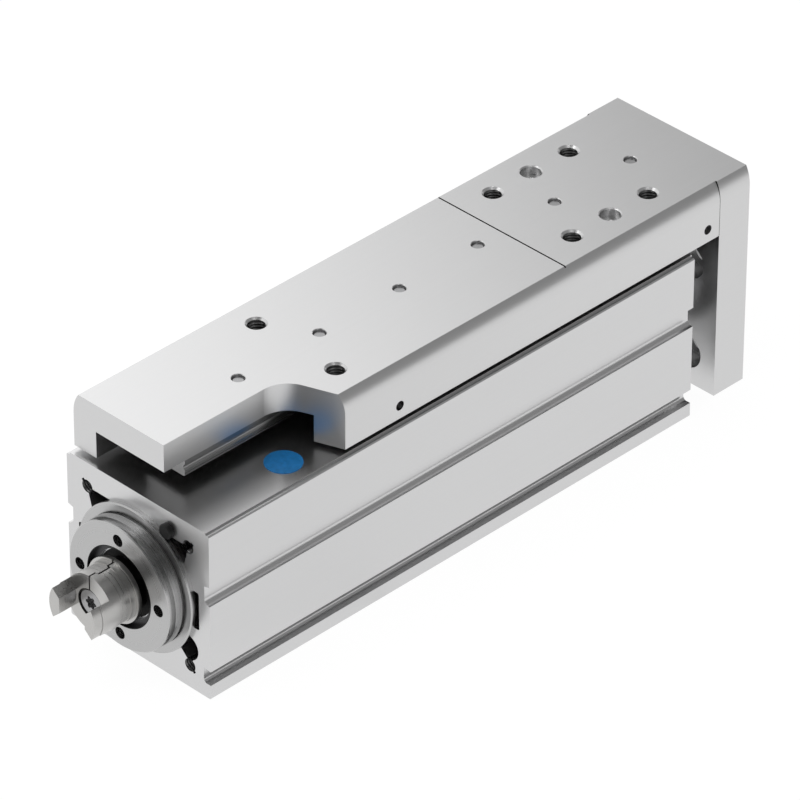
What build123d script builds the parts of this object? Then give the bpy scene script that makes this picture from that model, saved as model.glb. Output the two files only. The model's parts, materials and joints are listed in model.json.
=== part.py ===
from build123d import *
import os
from math import sqrt

# Electric mini slide, retracted. Millimetres.
# The origin is the middle of the housing's base, +X is the way the slide travels and +Z is up.
# Stations are distances along X from the housing's motor end.

# Housing extrusion
housing_length = 154.0
bore_radius = 18.0
side_wall = 4.5
base_wall = 4.1
roof_wall = 3.9
ledge_width = 1.0
crown_height = 0.5
edge_break = 0.3
keyway_depth = 1.1
keyway_height = 10.0
keyway_round = 0.5

# Side grooves: the hook groove at mid height and the foot groove near the base
hook_groove_bottom = 25.2
hook_groove_mouth = 5.2
hook_groove_depth = 1.6
hook_groove_roof = -0.4
hook_groove_cove = 1.5
foot_groove_bottom = 3.8
foot_groove_mouth = 3.7
foot_groove_depth = 2.2
foot_groove_roof = 0.4
foot_groove_cove = 1.0

# Corner screw channels, and the pockets that lead to them, as steps from a channel's centre
channel_inset = 2.0
channel_radius = 1.65
relief_width = 0.9
relief_reach = 2.1
upper_flank_top = (-0.35, -1.6)
upper_flank_foot = (-1.35, -5.2)
lower_pocket_mouth = (0.1, 7.95)
lower_pocket_bulge = (2.65, 5.0)
lower_pocket_neck = (1.0, 1.8)
lower_flank_foot = (-0.8, 1.3)
lower_flank_top = (-3.0, 3.5)

# Threads and screws
m3_radius = 1.5
m4_radius = 2.0
m6_radius = 3.0
m4_core_radius = 1.65
m5_core_radius = 2.1
m5_countersink_radius = 2.6
thread_gap = 0.05
clearance_gap = 0.2
screw_tip_chamfer = 0.3

# Fastening holes in the base
base_hole_pitch = 100.0
base_hole_width = 24.0
base_hole_depth = 6.5
base_centring_radius = 2.5
base_centring_depth = 2.5

# Plug in the end face
plug_radius = 1.85
plug_across = -9.95
plug_above_axis = 17.5
plug_reach = 1.4
plug_depth = 4.0
plug_chamfer = 0.25

# Label disc on the housing's top
disc_station = 30.56
disc_across = -14.35
disc_radius = 4.4
disc_thickness = 0.15

# Drive flange
flange_reach = 6.0
flange_radius = 16.0
flange_neck_radius = 15.2
flange_chamfer = 0.3
flange_lip_width = 0.7
flange_groove_width = 1.3
flange_band_width = 1.95
flange_collar_width = 1.4
flange_collar_overlap = 0.25
flange_seat_length = 16.0
flange_shoulder_radius = 8.6
seat_gap = 0.05
motor_hole_circle_radius = 12.5
motor_hole_radius = 1.5
motor_hole_depth = 5.0

# Spindle bearings and the ring that keeps them in
bearing_bore_radius = 4.52
bearing_radius = 9.98
bearing_width = 6.0
bearing_shim = 0.1
inner_race_radius = 6.2
outer_race_radius = 8.3
bearing_seal_inset = 0.3
bearing_seal_thickness = 0.7
bearing_seal_play = 0.08
ring_inset = 1.4
ring_thickness = 1.0
ring_groove_depth = 0.5
ring_inner_radius = 8.7
ring_ear_radius = 1.2
ring_ear_angle = 11.0
ring_turn = 124.0

# Spindle
spindle_radius = 5.0
spindle_end_gap = 8.0
spindle_shoulder_radius = 6.0
spindle_shoulder_width = 2.5
bearing_journal_radius = 4.5
nut_journal_radius = 4.0
hub_journal_radius = 3.0
hub_journal_start = -11.3
shaft_nut_radius = 6.3
shaft_nut_width = 2.8
shaft_nut_slot = 1.6
tip_ring_radius = 6.42
tip_ring_width = 2.0
tip_ring_inset = 0.8

# Coupling hub
hub_radius = 7.4
hub_rim_radius = 8.1
hub_waist_radius = 7.15
hub_rear = -6.6
hub_rim_station = -7.7
hub_waist_end = -9.1
hub_waist_start = -12.6
hub_front = -14.65
claw_front = -20.05
claw_step_station = -17.6
claw_step_depth = 0.15
claw_inner = 4.06
claw_flat_half = 2.0
claw_flank_slope = 0.9
hub_slit_width = 0.4
hub_slit_end = -7.2
hub_slit_jog = 0.5
hub_recess_radius = 3.75
hub_recess_depth = 2.8
hub_screw_head_radius = 3.2
hub_screw_head_height = 2.5
hub_screw_length = 8.0
star_socket_radius = 1.7
star_lobe_radius = 0.45

# Stroke buffers inside the bore
rear_buffer_inner = 8.7
rear_buffer_outer = 15.0
front_buffer_inner = 11.0
front_buffer_outer = 16.0
buffer_thickness = 3.0

# Piston, nut and rod
piston_start = 22.0
piston_length = 50.0
piston_gap = 0.2
nut_flange_radius = 14.0
nut_flange_width = 4.0
nut_radius = 10.5
nut_length = 28.0
nut_thread_gap = 0.2
piston_web_radius = 8.0
piston_web_width = 2.0
piston_spigot_radius = 12.5
piston_spigot_length = 6.0
magnet_ring_width = 5.0
magnet_ring_radius = 17.4
shoe_inner = 15.5
shoe_length = 30.0
shoe_start = 30.0
shoe_play = 0.1
rod_radius = 10.0
rod_inner_radius = 6.5
rod_solid_length = 15.0

# Rod guide at the yoke end
rod_guide_length = 26.0
rod_guide_gap = 0.5
rod_bush_radius = 12.0
rod_bush_start = 2.0
rod_bush_length = 18.0
rod_bush_play = 0.06
rod_wiper_radius = 13.0
rod_wiper_length = 5.0
rod_wiper_play = 0.1
rod_wiper_wall = 1.4
set_screw_inset = 8.0
set_screw_pitch = 10.0
set_screw_sink = 1.2
set_screw_socket = 1.1

# Rail guide between housing and slide
guide_height = 13.0
rail_half_width = 6.0
rail_height = 8.0
rail_start = 8.8
rail_end_gap = 0.3
rail_recess = 2.75
rail_side_gap = 0.05
rail_chamfer = 0.3
raceway_radius = 0.9
raceway_bite = 0.5
raceway_above_bottom = 2.35
rail_line_above_bottom = 0.85
rail_line_width = 0.2
rail_line_depth = 0.15
carriage_width = 27.0
carriage_body_length = 21.7
carriage_height = 10.0
carriage_chamfer = 0.6
carriage_slot_gap = 0.25
carriage_slot_drop = 0.35
carriage_cap_length = 5.5
carriage_cap_inset = 0.5
carriage_seal_length = 1.0
carriage_pitch = 37.3
rear_carriage_inset = 20.35
carriage_screw_pitch = 15.0
carriage_screw_width = 20.0
carriage_screw_cover = 0.18
carriage_screw_length = 5.6
carriage_seat_gap = 0.1
carriage_seat_lead = 4.0
low_head_radius = 2.75
low_head_height = 2.0
socket_radius_m3 = 1.4

# Slide plate
slide_front = 1.6
yoke_gap = 9.1
slide_height = 14.2
slide_gap = 1.1
slide_width = 43.2
slide_flat_width = 39.86
shoulder_drop = 5.1
plate_thickness = 7.2
channel_width = 29.0
notch_wall_across = -7.1
notch_corner_station = 37.0
notch_end_station = 42.45
notch_round = 7.5
front_pair_station = 48.5
pattern_inset = 27.1
pattern_pitch = 25.0
slide_centring_radius = 2.5
slide_centring_mouth = 2.75
slide_centring_depth = 2.0
rail_screw_first_station = 30.85
rail_screw_pitch = 25.0
rail_screw_end_margin = 6.0
rail_screw_end_depth = 0.6
rail_screw_mouth = 0.15
rail_head_sink = 4.5
rail_head_height = 3.0
score_lead = 22.65
score_width = 0.4
score_depth = 0.25
side_hole_radius = 1.2
side_hole_depth = 4.5
side_hole_front = 59.4
side_hole_inset = 3.9
side_hole_rise = 3.4

# Yoke plate
yoke_thickness = 10.0
yoke_bottom = 0.9
yoke_flat_width = 40.56
yoke_pattern = 25.0
yoke_hole_radius = 2.75
yoke_counterbore_radius = 4.65
yoke_counterbore_depth = 5.3
yoke_screw_across = 17.0
yoke_screw_drop = 6.3
yoke_screw_length = 14.0
m4_head_radius = 3.5
m4_head_height = 4.0
m4_head_sink = 4.5
m4_socket_radius = 1.7
pin_across = 9.0
pin_drop = 3.8
pin_radius = 2.0
pin_in_slide = 8.0
m6_head_radius = 5.0
m6_head_height = 6.0
m6_head_sink = 6.5
m6_socket_radius = 2.8
rod_screw_length = 14.0
rod_thread_depth = 12.0

# Stations, radii and heights that follow from these
motor_end = -housing_length / 2
half_width = bore_radius + side_wall
axis_height = bore_radius + base_wall
side_height = axis_height + bore_radius + roof_wall
top_height = side_height + crown_height
channel_offset = bore_radius - channel_inset
leg_bottom = top_height + slide_gap
slide_top = leg_bottom + slide_height
shoulder_height = slide_top - shoulder_drop
slide_back = housing_length + yoke_gap
yoke_outside = slide_back + yoke_thickness
plate_underside = slide_top - plate_thickness
rail_base = plate_underside + rail_recess
rail_bottom = rail_base - rail_height
carriage_seat = rail_base - guide_height
bearing_front = -flange_reach + ring_inset + ring_thickness + seat_gap
bearing_back = bearing_front + 2 * bearing_width + bearing_shim
bearing_seat_radius = bearing_radius + thread_gap / 2
rod_guide_start = housing_length - rod_guide_length
spindle_end = rod_guide_start - spindle_end_gap
carriage_half_length = carriage_body_length / 2 + carriage_cap_length + carriage_seal_length
rear_carriage_station = housing_length - rear_carriage_inset
front_carriage_station = rear_carriage_station - carriage_pitch
carriage_stations = (front_carriage_station, rear_carriage_station)
head_inner_edge = carriage_screw_width / 2 - low_head_radius
carriage_screw_shoulder = (
    axis_height + sqrt(bore_radius**2 - head_inner_edge**2) + carriage_screw_cover + low_head_height
)
carriage_screw_floor = carriage_seat - carriage_screw_shoulder
pattern_station = slide_back - pattern_inset
score_station = pattern_station - score_lead
side_hole_stations = (side_hole_front, slide_back - side_hole_inset)
side_hole_height = leg_bottom + side_hole_rise
yoke_screw_height = slide_top - yoke_screw_drop
pin_height = slide_top - pin_drop
nut_end = piston_start + nut_length
rod_start = nut_end + piston_web_width
piston_end = piston_start + piston_length
rail_length = slide_back - rail_end_gap - rail_start
rail_screw_steps = int((slide_back - rail_screw_end_margin - rail_screw_first_station) // rail_screw_pitch)
rail_screw_count = rail_screw_steps + 1
rail_middle = rail_screw_first_station + rail_screw_pitch * rail_screw_steps / 2
raceway_height = rail_bottom + raceway_above_bottom

turning_plane = Plane(origin=(motor_end, 0, axis_height), x_dir=(1, 0, 0), z_dir=(0, -1, 0))
drive_axis = Axis((motor_end, 0, axis_height), (1, 0, 0))


def section(station, height=0.0):
    """The plane across the drive at a station: sketch x is +Y, sketch y is +Z, extrusion is +X."""
    return Plane(origin=(motor_end + station, 0, height), x_dir=(0, 1, 0), z_dir=(1, 0, 0))


def facing_motor(station, height=axis_height):
    """The same plane turned round, so that a hole on it is cut towards the yoke."""
    return Plane(origin=(motor_end + station, 0, height), x_dir=(0, -1, 0), z_dir=(-1, 0, 0))


def level(height):
    """The horizontal plane at a height: sketch x is the station."""
    return Plane(origin=(motor_end, 0, height))


def underside(height):
    """The horizontal plane at a height, facing down."""
    return Plane(origin=(motor_end, 0, height), x_dir=(1, 0, 0), z_dir=(0, 0, -1))


def turned(start, end, inner, outer):
    """A plain ring about the drive axis, between two stations and two radii."""
    with BuildPart() as ring:
        with BuildSketch(turning_plane):
            with Locations(((start + end) / 2, (inner + outer) / 2)):
                Rectangle(end - start, outer - inner)
        revolve(axis=drive_axis)
    return ring.part


def side_groove(bottom, mouth, depth, roof, cove):
    """A groove in the +Y side, with a sloping roof, a flat back and a coved floor."""
    back = half_width - depth
    outside = half_width + edge_break
    with BuildSketch() as groove:
        with BuildLine():
            floor = Line((outside, bottom), (back + cove, bottom))
            corner = TangentArc(floor @ 1, (back, bottom + cove), tangent=(-1, 0))
            Polyline(
                corner @ 1,
                (back, bottom + mouth + roof),
                (half_width, bottom + mouth),
                (outside, bottom + mouth),
                floor @ 0,
            )
        make_face()
    return groove.sketch


def corner_pockets():
    """The upper and lower screw channels of the +Y side, with the pockets that join them to the bore."""
    bore_edge = sqrt(bore_radius**2 - channel_offset**2)
    upper = Vector(channel_offset, channel_offset)
    lower = Vector(channel_offset, -channel_offset)
    with BuildSketch() as pockets:
        with BuildLine():
            Polyline(
                (0, 0),
                (bore_edge, channel_offset),
                upper,
                upper + upper_flank_top,
                upper + upper_flank_foot,
                close=True,
            )
        make_face()
        with BuildLine():
            mouth = Line((0, 0), lower + lower_pocket_mouth)
            outside = ThreePointArc(mouth @ 1, lower + lower_pocket_bulge, lower + lower_pocket_neck)
            Polyline(outside @ 1, lower, lower + lower_flank_foot, lower + lower_flank_top, (0, 0))
        make_face()
        for side in (1, -1):
            with Locations((channel_offset, side * channel_offset)):
                Circle(channel_radius)
            with Locations(Location((channel_offset, side * channel_offset, 0), side * 45)):
                Rectangle(relief_reach, relief_width, align=(Align.MIN, Align.CENTER))
    return pockets.sketch


def hex_socket(radius):
    """The outline of a hexagon socket."""
    with BuildSketch() as socket:
        RegularPolygon(radius, 6)
    return socket.sketch


def star_socket(radius, lobe):
    """The outline of a six-lobed socket."""
    with BuildSketch() as socket:
        Circle(radius - lobe)
        with PolarLocations(radius - lobe, 6):
            Circle(lobe)
    return socket.sketch


def cap_screw(shank_radius, length, head_radius, head_height, socket):
    """A screw seated on the origin, with its head above, a socket half as deep and its shank below."""
    with BuildPart() as screw:
        with BuildSketch():
            Circle(head_radius)
        extrude(amount=head_height)
        with BuildSketch(Plane.XY.offset(head_height)):
            add(socket)
        extrude(amount=-head_height / 2, mode=Mode.SUBTRACT)
        with BuildSketch():
            Circle(shank_radius)
        extrude(amount=-length)
    return screw.part


def carriage_section(inset):
    """The upright U of a guide carriage, drawn in a little by an inset, with its slot for the rail."""
    slot_floor = rail_bottom - carriage_slot_drop
    with BuildSketch() as outline:
        with Locations((0, carriage_seat + inset)):
            Rectangle(
                carriage_width - 2 * inset,
                carriage_height - 2 * inset,
                align=(Align.CENTER, Align.MIN),
            )
        chamfer(outline.vertices(), carriage_chamfer)
        with Locations((0, slot_floor)):
            Rectangle(
                2 * (rail_half_width + carriage_slot_gap),
                carriage_height,
                align=(Align.CENTER, Align.MIN),
                mode=Mode.SUBTRACT,
            )
    return outline.sketch


def carriage_body(station):
    """A carriage's steel body with its raceways and the four threads in its base."""
    outline = carriage_section(0)
    thread_depth = carriage_screw_length - carriage_screw_floor + clearance_gap
    with BuildPart() as body:
        with BuildSketch(section(station - carriage_body_length / 2)):
            add(outline)
            with Locations((rail_half_width, raceway_height), (-rail_half_width, raceway_height)):
                Circle(raceway_radius, mode=Mode.SUBTRACT)
        extrude(amount=carriage_body_length)
        with Locations(underside(carriage_seat)):
            with Locations((station, 0)):
                with GridLocations(carriage_screw_pitch, carriage_screw_width, 2, 2):
                    Hole(m3_radius + thread_gap, thread_depth)
    return body.part


def carriage_slice(start, length, inset):
    """A slice of the carriage's section, for an end cap or a seal."""
    outline = carriage_section(inset)
    with BuildPart() as piece:
        with BuildSketch(section(start)):
            add(outline)
        extrude(amount=length)
    return piece.part


def shouldered_outline(flat_width, low):
    """Half of a section with a round shoulder at the top, for the slide plate and the yoke plate."""
    with BuildSketch() as outline:
        with BuildLine():
            Polyline((0, slide_top), (0, low), (slide_width / 2, low), (slide_width / 2, shoulder_height))
            TangentArc((slide_width / 2, shoulder_height), (flat_width / 2, slide_top), tangent=(0, 1))
            Line((flat_width / 2, slide_top), (0, slide_top))
        make_face()
    return outline.sketch


groove_cuts = (
    side_groove(
        hook_groove_bottom, hook_groove_mouth, hook_groove_depth, hook_groove_roof, hook_groove_cove
    ),
    side_groove(
        foot_groove_bottom, foot_groove_mouth, foot_groove_depth, foot_groove_roof, foot_groove_cove
    ),
)
pocket_cut = corner_pockets()

with BuildPart() as housing_profile:
    with BuildSketch(section(0)):
        with BuildLine():
            Polyline(
                (0, 0),
                (half_width - edge_break, 0),
                (half_width, edge_break),
                (half_width, side_height - edge_break),
                (half_width - edge_break, side_height),
                (half_width - ledge_width, side_height),
                (half_width - ledge_width, top_height),
                (0, top_height),
                close=True,
            )
        make_face()
        for groove_cut in groove_cuts:
            add(groove_cut, mode=Mode.SUBTRACT)
        with Locations((0, axis_height)):
            Circle(bore_radius, mode=Mode.SUBTRACT)
            add(pocket_cut, mode=Mode.SUBTRACT)
            RectangleRounded(
                2 * (bore_radius + keyway_depth), keyway_height, keyway_round, mode=Mode.SUBTRACT
            )
        mirror(about=Plane.YZ)
    extrude(amount=housing_length)
    # Seat of the two guide carriages
    seat_start = front_carriage_station - carriage_half_length - carriage_seat_lead
    with BuildSketch(level(top_height)):
        with Locations(((seat_start + housing_length) / 2, 0)):
            Rectangle(housing_length - seat_start, carriage_width + 2 * carriage_seat_gap)
    extrude(amount=carriage_seat - top_height, mode=Mode.SUBTRACT)
    # Carriage screws, set in from the bore
    for station in carriage_stations:
        with BuildSketch(level(axis_height)):
            with Locations((station, 0)):
                with GridLocations(carriage_screw_pitch, carriage_screw_width, 2, 2):
                    Circle(low_head_radius + clearance_gap)
        extrude(amount=carriage_screw_shoulder - axis_height, mode=Mode.SUBTRACT)
        with BuildSketch(level(carriage_seat)):
            with Locations((station, 0)):
                with GridLocations(carriage_screw_pitch, carriage_screw_width, 2, 2):
                    Circle(m3_radius + thread_gap)
        extrude(amount=-carriage_screw_floor, mode=Mode.SUBTRACT)
    # Fastening threads, centring bores and set screw threads in the base
    with Locations(Plane(origin=(0, 0, 0), z_dir=(0, 0, -1))):
        with GridLocations(base_hole_pitch, base_hole_width, 2, 2):
            Hole(m4_core_radius, base_hole_depth)
        with GridLocations(base_hole_pitch, 0, 2, 1):
            Hole(base_centring_radius, base_centring_depth)
    with Locations(underside(0)):
        for place in range(2):
            with Locations((rod_guide_start + set_screw_inset + place * set_screw_pitch, 0)):
                Hole(m4_radius + thread_gap, axis_height)
    with Locations(facing_motor(0)):
        with Locations((-plug_across, plug_above_axis)):
            Hole(plug_radius, plug_depth)
housing_profile.part.label = "housing_profile"

# Drive flange: a turned bearing housing with its clamping neck in front of the housing
with BuildPart() as drive_flange:
    with BuildSketch(turning_plane):
        lip_back = flange_lip_width - flange_reach
        groove_back = lip_back + flange_groove_width
        band_back = groove_back + flange_band_width
        collar_radius = bore_radius + flange_collar_overlap
        with BuildLine():
            Polyline(
                (-flange_reach, bearing_seat_radius),
                (-flange_reach, flange_radius - flange_chamfer),
                (flange_chamfer - flange_reach, flange_radius),
                (lip_back, flange_radius),
                (lip_back, flange_neck_radius),
                (groove_back, flange_neck_radius),
                (groove_back, flange_radius),
                (band_back, flange_radius),
                (band_back, flange_neck_radius),
                (-flange_collar_width, flange_neck_radius),
                (-flange_collar_width, collar_radius - flange_chamfer),
                (flange_chamfer - flange_collar_width, collar_radius),
                (0, collar_radius),
                (0, bore_radius - seat_gap),
                (flange_seat_length, bore_radius - seat_gap),
                (flange_seat_length, flange_shoulder_radius),
                (bearing_back, flange_shoulder_radius),
                (bearing_back, bearing_seat_radius),
                (bearing_front, bearing_seat_radius),
                (bearing_front, bearing_seat_radius + ring_groove_depth),
                (ring_inset - flange_reach, bearing_seat_radius + ring_groove_depth),
                (ring_inset - flange_reach, bearing_seat_radius),
                close=True,
            )
        make_face()
    revolve(axis=drive_axis)
    with Locations(facing_motor(-flange_reach)):
        with PolarLocations(motor_hole_circle_radius, 4):
            Hole(motor_hole_radius, motor_hole_depth)
drive_flange.part.label = "drive_flange"

with BuildPart() as port_plug:
    with BuildSketch(section(-plug_reach, axis_height)):
        with Locations((plug_across, plug_above_axis)):
            Circle(plug_radius)
    extrude(amount=plug_reach + plug_depth)
    chamfer(port_plug.edges().group_by(Axis.X)[0], plug_chamfer)
port_plug.part.label = "port_plug"

# Two sealed ball bearings side by side
outer_rings = []
inner_rings = []
seals = []
for start in (bearing_front, bearing_front + bearing_width + bearing_shim):
    end = start + bearing_width
    outer_rings.append(turned(start, end, outer_race_radius, bearing_radius))
    inner_rings.append(turned(start, end, bearing_bore_radius, inner_race_radius))
    for seal_start in (start + bearing_seal_inset, end - bearing_seal_inset - bearing_seal_thickness):
        seals.append(
            turned(
                seal_start,
                seal_start + bearing_seal_thickness,
                inner_race_radius + bearing_seal_play,
                outer_race_radius,
            )
        )

with BuildPart() as bearing_outer_rings:
    add(outer_rings)
bearing_outer_rings.part.label = "bearing_outer_rings"

with BuildPart() as bearing_inner_rings:
    add(inner_rings)
bearing_inner_rings.part.label = "bearing_inner_rings"

with BuildPart() as bearing_seals:
    add(seals)
bearing_seals.part.label = "bearing_seals"

# Retaining ring: an open ring with an ear at each end
with BuildPart() as retaining_ring:
    with BuildSketch(section(ring_inset - flange_reach, axis_height)):
        Circle(bearing_radius + ring_groove_depth)
        Circle(ring_inner_radius, mode=Mode.SUBTRACT)
        for side in (1, -1):
            with PolarLocations(ring_inner_radius, 1, ring_turn + side * ring_ear_angle):
                Circle(ring_ear_radius)
        with Locations(Location((0, 0, 0), ring_turn)):
            Rectangle(
                bearing_radius + bearing_width,
                2 * ring_ear_radius,
                align=(Align.MIN, Align.CENTER),
                mode=Mode.SUBTRACT,
            )
    extrude(amount=ring_thickness)
retaining_ring.part.label = "retaining_ring"

# Spindle: journals for hub, lock nut and bearings, a shoulder, then the threaded length
with BuildPart() as spindle:
    with BuildSketch(turning_plane):
        nut_front = bearing_front - shaft_nut_width
        shoulder_end = bearing_back + spindle_shoulder_width
        with BuildLine():
            Polyline(
                (hub_journal_start, 0),
                (hub_journal_start, hub_journal_radius),
                (nut_front, hub_journal_radius),
                (nut_front, nut_journal_radius),
                (bearing_front, nut_journal_radius),
                (bearing_front, bearing_journal_radius),
                (bearing_back, bearing_journal_radius),
                (bearing_back, spindle_shoulder_radius),
                (shoulder_end, spindle_shoulder_radius),
                (shoulder_end, spindle_radius),
                (spindle_end, spindle_radius),
                (spindle_end, 0),
                close=True,
            )
        make_face()
    revolve(axis=drive_axis)
    with Locations(facing_motor(hub_journal_start)):
        Hole(m3_radius + thread_gap, hub_screw_length)
spindle.part.label = "spindle"

tip_ring = turned(
    spindle_end - tip_ring_inset - tip_ring_width,
    spindle_end - tip_ring_inset,
    spindle_radius,
    tip_ring_radius,
)
with BuildPart() as spindle_tip_ring:
    add(tip_ring)
spindle_tip_ring.part.label = "spindle_tip_ring"

with BuildPart() as shaft_nut:
    with BuildSketch(section(nut_front, axis_height)):
        Circle(shaft_nut_radius)
        Circle(nut_journal_radius, mode=Mode.SUBTRACT)
        with PolarLocations(shaft_nut_radius, 4, 45):
            Rectangle(shaft_nut_slot, shaft_nut_slot, mode=Mode.SUBTRACT)
    extrude(amount=shaft_nut_width)
shaft_nut.part.label = "shaft_nut"

# Each claw is a sector of the hub's rim with a flat inner face and sloping flanks
claw_outer = claw_inner + hub_radius
claw_outer_half = claw_flat_half + claw_flank_slope * hub_radius
with BuildSketch() as claw_outline:
    with BuildLine():
        Polyline(
            (claw_inner, -claw_flat_half),
            (claw_inner, claw_flat_half),
            (claw_outer, claw_outer_half),
            (claw_outer, -claw_outer_half),
            close=True,
        )
    make_face()
    mirror(about=Plane.YZ)
claw_wedges = claw_outline.sketch

# Coupling hub: a turned body with two claws, slit along its top so that it clamps
with BuildPart() as coupling_hub:
    with BuildSketch(turning_plane):
        recess_floor = hub_front + hub_recess_depth
        with BuildLine():
            Polyline(
                (hub_rear, hub_journal_radius + thread_gap / 2),
                (hub_rear, hub_rim_radius),
                (hub_rim_station, hub_rim_radius),
                (hub_rim_station, hub_radius),
                (hub_waist_end, hub_radius),
                (hub_waist_end, hub_waist_radius),
                (hub_waist_start, hub_waist_radius),
                (hub_waist_start, hub_radius),
                (hub_front, hub_radius),
                (hub_front, hub_recess_radius),
                (recess_floor, hub_recess_radius),
                (recess_floor, m3_radius + clearance_gap),
                (hub_journal_start, m3_radius + clearance_gap),
                (hub_journal_start, hub_journal_radius + thread_gap / 2),
                close=True,
            )
        make_face()
    revolve(axis=drive_axis)
    claw_ends = ((claw_step_station, 0), (claw_front, claw_step_depth))
    for claw_end, drop in claw_ends:
        with BuildSketch(section(claw_end, axis_height)):
            Circle(hub_radius - drop)
            add(claw_wedges, mode=Mode.INTERSECT)
        extrude(amount=hub_front - claw_end)
    # The slit steps sideways where it crosses the waist
    slit_start = hub_front - hub_slit_width
    for start, end, across in (
        (slit_start, hub_waist_start, 0),
        (hub_waist_start, hub_waist_end, -hub_slit_jog),
        (hub_waist_end, hub_slit_end, 0),
    ):
        with BuildSketch(section(start, axis_height)):
            with Locations((across, 0)):
                Rectangle(hub_slit_width, 2 * hub_radius, align=(Align.CENTER, Align.MIN))
        extrude(amount=end - start, mode=Mode.SUBTRACT)
    for jog_station in (hub_waist_start, hub_waist_end):
        with BuildSketch(section(jog_station - hub_slit_width / 2, axis_height)):
            Rectangle(hub_slit_jog, 2 * hub_radius, align=(Align.MAX, Align.MIN))
        extrude(amount=hub_slit_width, mode=Mode.SUBTRACT)
coupling_hub.part.label = "coupling_hub"

hub_screw = cap_screw(
    m3_radius,
    hub_screw_length,
    hub_screw_head_radius,
    hub_screw_head_height,
    star_socket(star_socket_radius, star_lobe_radius),
)
with BuildPart() as coupling_screw:
    with Locations(facing_motor(recess_floor)):
        add(hub_screw)
coupling_screw.part.label = "coupling_screw"

# Stroke buffers
rear_stop = turned(
    flange_seat_length, flange_seat_length + buffer_thickness, rear_buffer_inner, rear_buffer_outer
)
with BuildPart() as rear_buffer:
    add(rear_stop)
rear_buffer.part.label = "rear_buffer"

front_stop = turned(
    rod_guide_start - buffer_thickness, rod_guide_start, front_buffer_inner, front_buffer_outer
)
with BuildPart() as front_buffer:
    add(front_stop)
front_buffer.part.label = "front_buffer"

# Nut, piston with its magnet ring, and the two shoes that keep them from turning
nut_flange = turned(
    piston_start, piston_start + nut_flange_width, spindle_radius + nut_thread_gap, nut_flange_radius
)
nut_body = turned(piston_start, nut_end, spindle_radius + nut_thread_gap, nut_radius)
with BuildPart() as spindle_nut:
    add(nut_flange)
    add(nut_body)
spindle_nut.part.label = "spindle_nut"

with BuildPart() as piston:
    with BuildSketch(turning_plane):
        piston_radius = bore_radius - piston_gap
        spigot_start = piston_end - piston_spigot_length
        with BuildLine():
            Polyline(
                (piston_start, nut_flange_radius + seat_gap),
                (piston_start, piston_radius),
                (spigot_start, piston_radius),
                (spigot_start, piston_spigot_radius),
                (piston_end, piston_spigot_radius),
                (piston_end, rod_radius),
                (rod_start, rod_radius),
                (rod_start, piston_web_radius),
                (nut_end, piston_web_radius),
                (nut_end, nut_radius + seat_gap),
                (piston_start + nut_flange_width, nut_radius + seat_gap),
                (piston_start + nut_flange_width, nut_flange_radius + seat_gap),
                close=True,
            )
        make_face()
    revolve(axis=drive_axis)
    with BuildSketch(section(shoe_start, axis_height)):
        for side in (1, -1):
            with Locations((side * shoe_inner, 0)):
                Rectangle(
                    bore_radius,
                    keyway_height - 2 * shoe_play,
                    align=(Align.MIN if side > 0 else Align.MAX, Align.CENTER),
                )
    extrude(amount=shoe_length, mode=Mode.SUBTRACT)
piston.part.label = "piston"

with BuildPart() as guide_shoes:
    with BuildSketch(section(shoe_start, axis_height)):
        RectangleRounded(
            2 * (bore_radius + keyway_depth - shoe_play), keyway_height - 2 * shoe_play, keyway_round
        )
        Rectangle(2 * shoe_inner, keyway_height, mode=Mode.SUBTRACT)
    extrude(amount=shoe_length)
guide_shoes.part.label = "guide_shoes"

magnet = turned(spigot_start, spigot_start + magnet_ring_width, piston_spigot_radius, magnet_ring_radius)
with BuildPart() as magnet_ring:
    add(magnet)
magnet_ring.part.label = "magnet_ring"

with BuildPart() as piston_rod:
    with BuildSketch(turning_plane):
        hollow_end = slide_back - rod_solid_length
        with BuildLine():
            Polyline(
                (rod_start, rod_inner_radius),
                (rod_start, rod_radius),
                (slide_back, rod_radius),
                (slide_back, 0),
                (hollow_end, 0),
                (hollow_end, rod_inner_radius),
                close=True,
            )
        make_face()
    revolve(axis=drive_axis)
    with Locations(section(slide_back, axis_height)):
        Hole(m6_radius + thread_gap, rod_thread_depth)
piston_rod.part.label = "piston_rod"

# Rod guide with its bush, wiper and set screws
bush_start = rod_guide_start + rod_bush_start
bush_end = bush_start + rod_bush_length
wiper_start = housing_length - rod_wiper_length
with BuildPart() as rod_guide:
    with BuildSketch(turning_plane):
        guide_bore = rod_radius + rod_guide_gap
        with BuildLine():
            Polyline(
                (rod_guide_start, guide_bore),
                (rod_guide_start, bore_radius - seat_gap),
                (housing_length, bore_radius - seat_gap),
                (housing_length, rod_wiper_radius),
                (wiper_start, rod_wiper_radius),
                (wiper_start, guide_bore),
                (bush_end, guide_bore),
                (bush_end, rod_bush_radius),
                (bush_start, rod_bush_radius),
                (bush_start, guide_bore),
                close=True,
            )
        make_face()
    revolve(axis=drive_axis)
    with Locations(underside(axis_height - bore_radius)):
        for place in range(2):
            with Locations((rod_guide_start + set_screw_inset + place * set_screw_pitch, 0)):
                Hole(m4_radius + thread_gap, set_screw_sink)
rod_guide.part.label = "rod_guide"

bush = turned(bush_start, bush_end, rod_radius + rod_bush_play, rod_bush_radius)
with BuildPart() as rod_bush:
    add(bush)
rod_bush.part.label = "rod_bush"

with BuildPart() as rod_wiper:
    with BuildSketch(turning_plane):
        lip_radius = rod_radius + rod_wiper_play
        shell_radius = rod_wiper_radius - rod_wiper_wall
        with BuildLine():
            Polyline(
                (wiper_start, shell_radius),
                (wiper_start, rod_wiper_radius),
                (housing_length, rod_wiper_radius),
                (housing_length, lip_radius),
                (housing_length - rod_wiper_length / 4, lip_radius),
                (housing_length - rod_wiper_length / 2, shell_radius),
                close=True,
            )
        make_face()
    revolve(axis=drive_axis)
rod_wiper.part.label = "rod_wiper"

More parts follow.
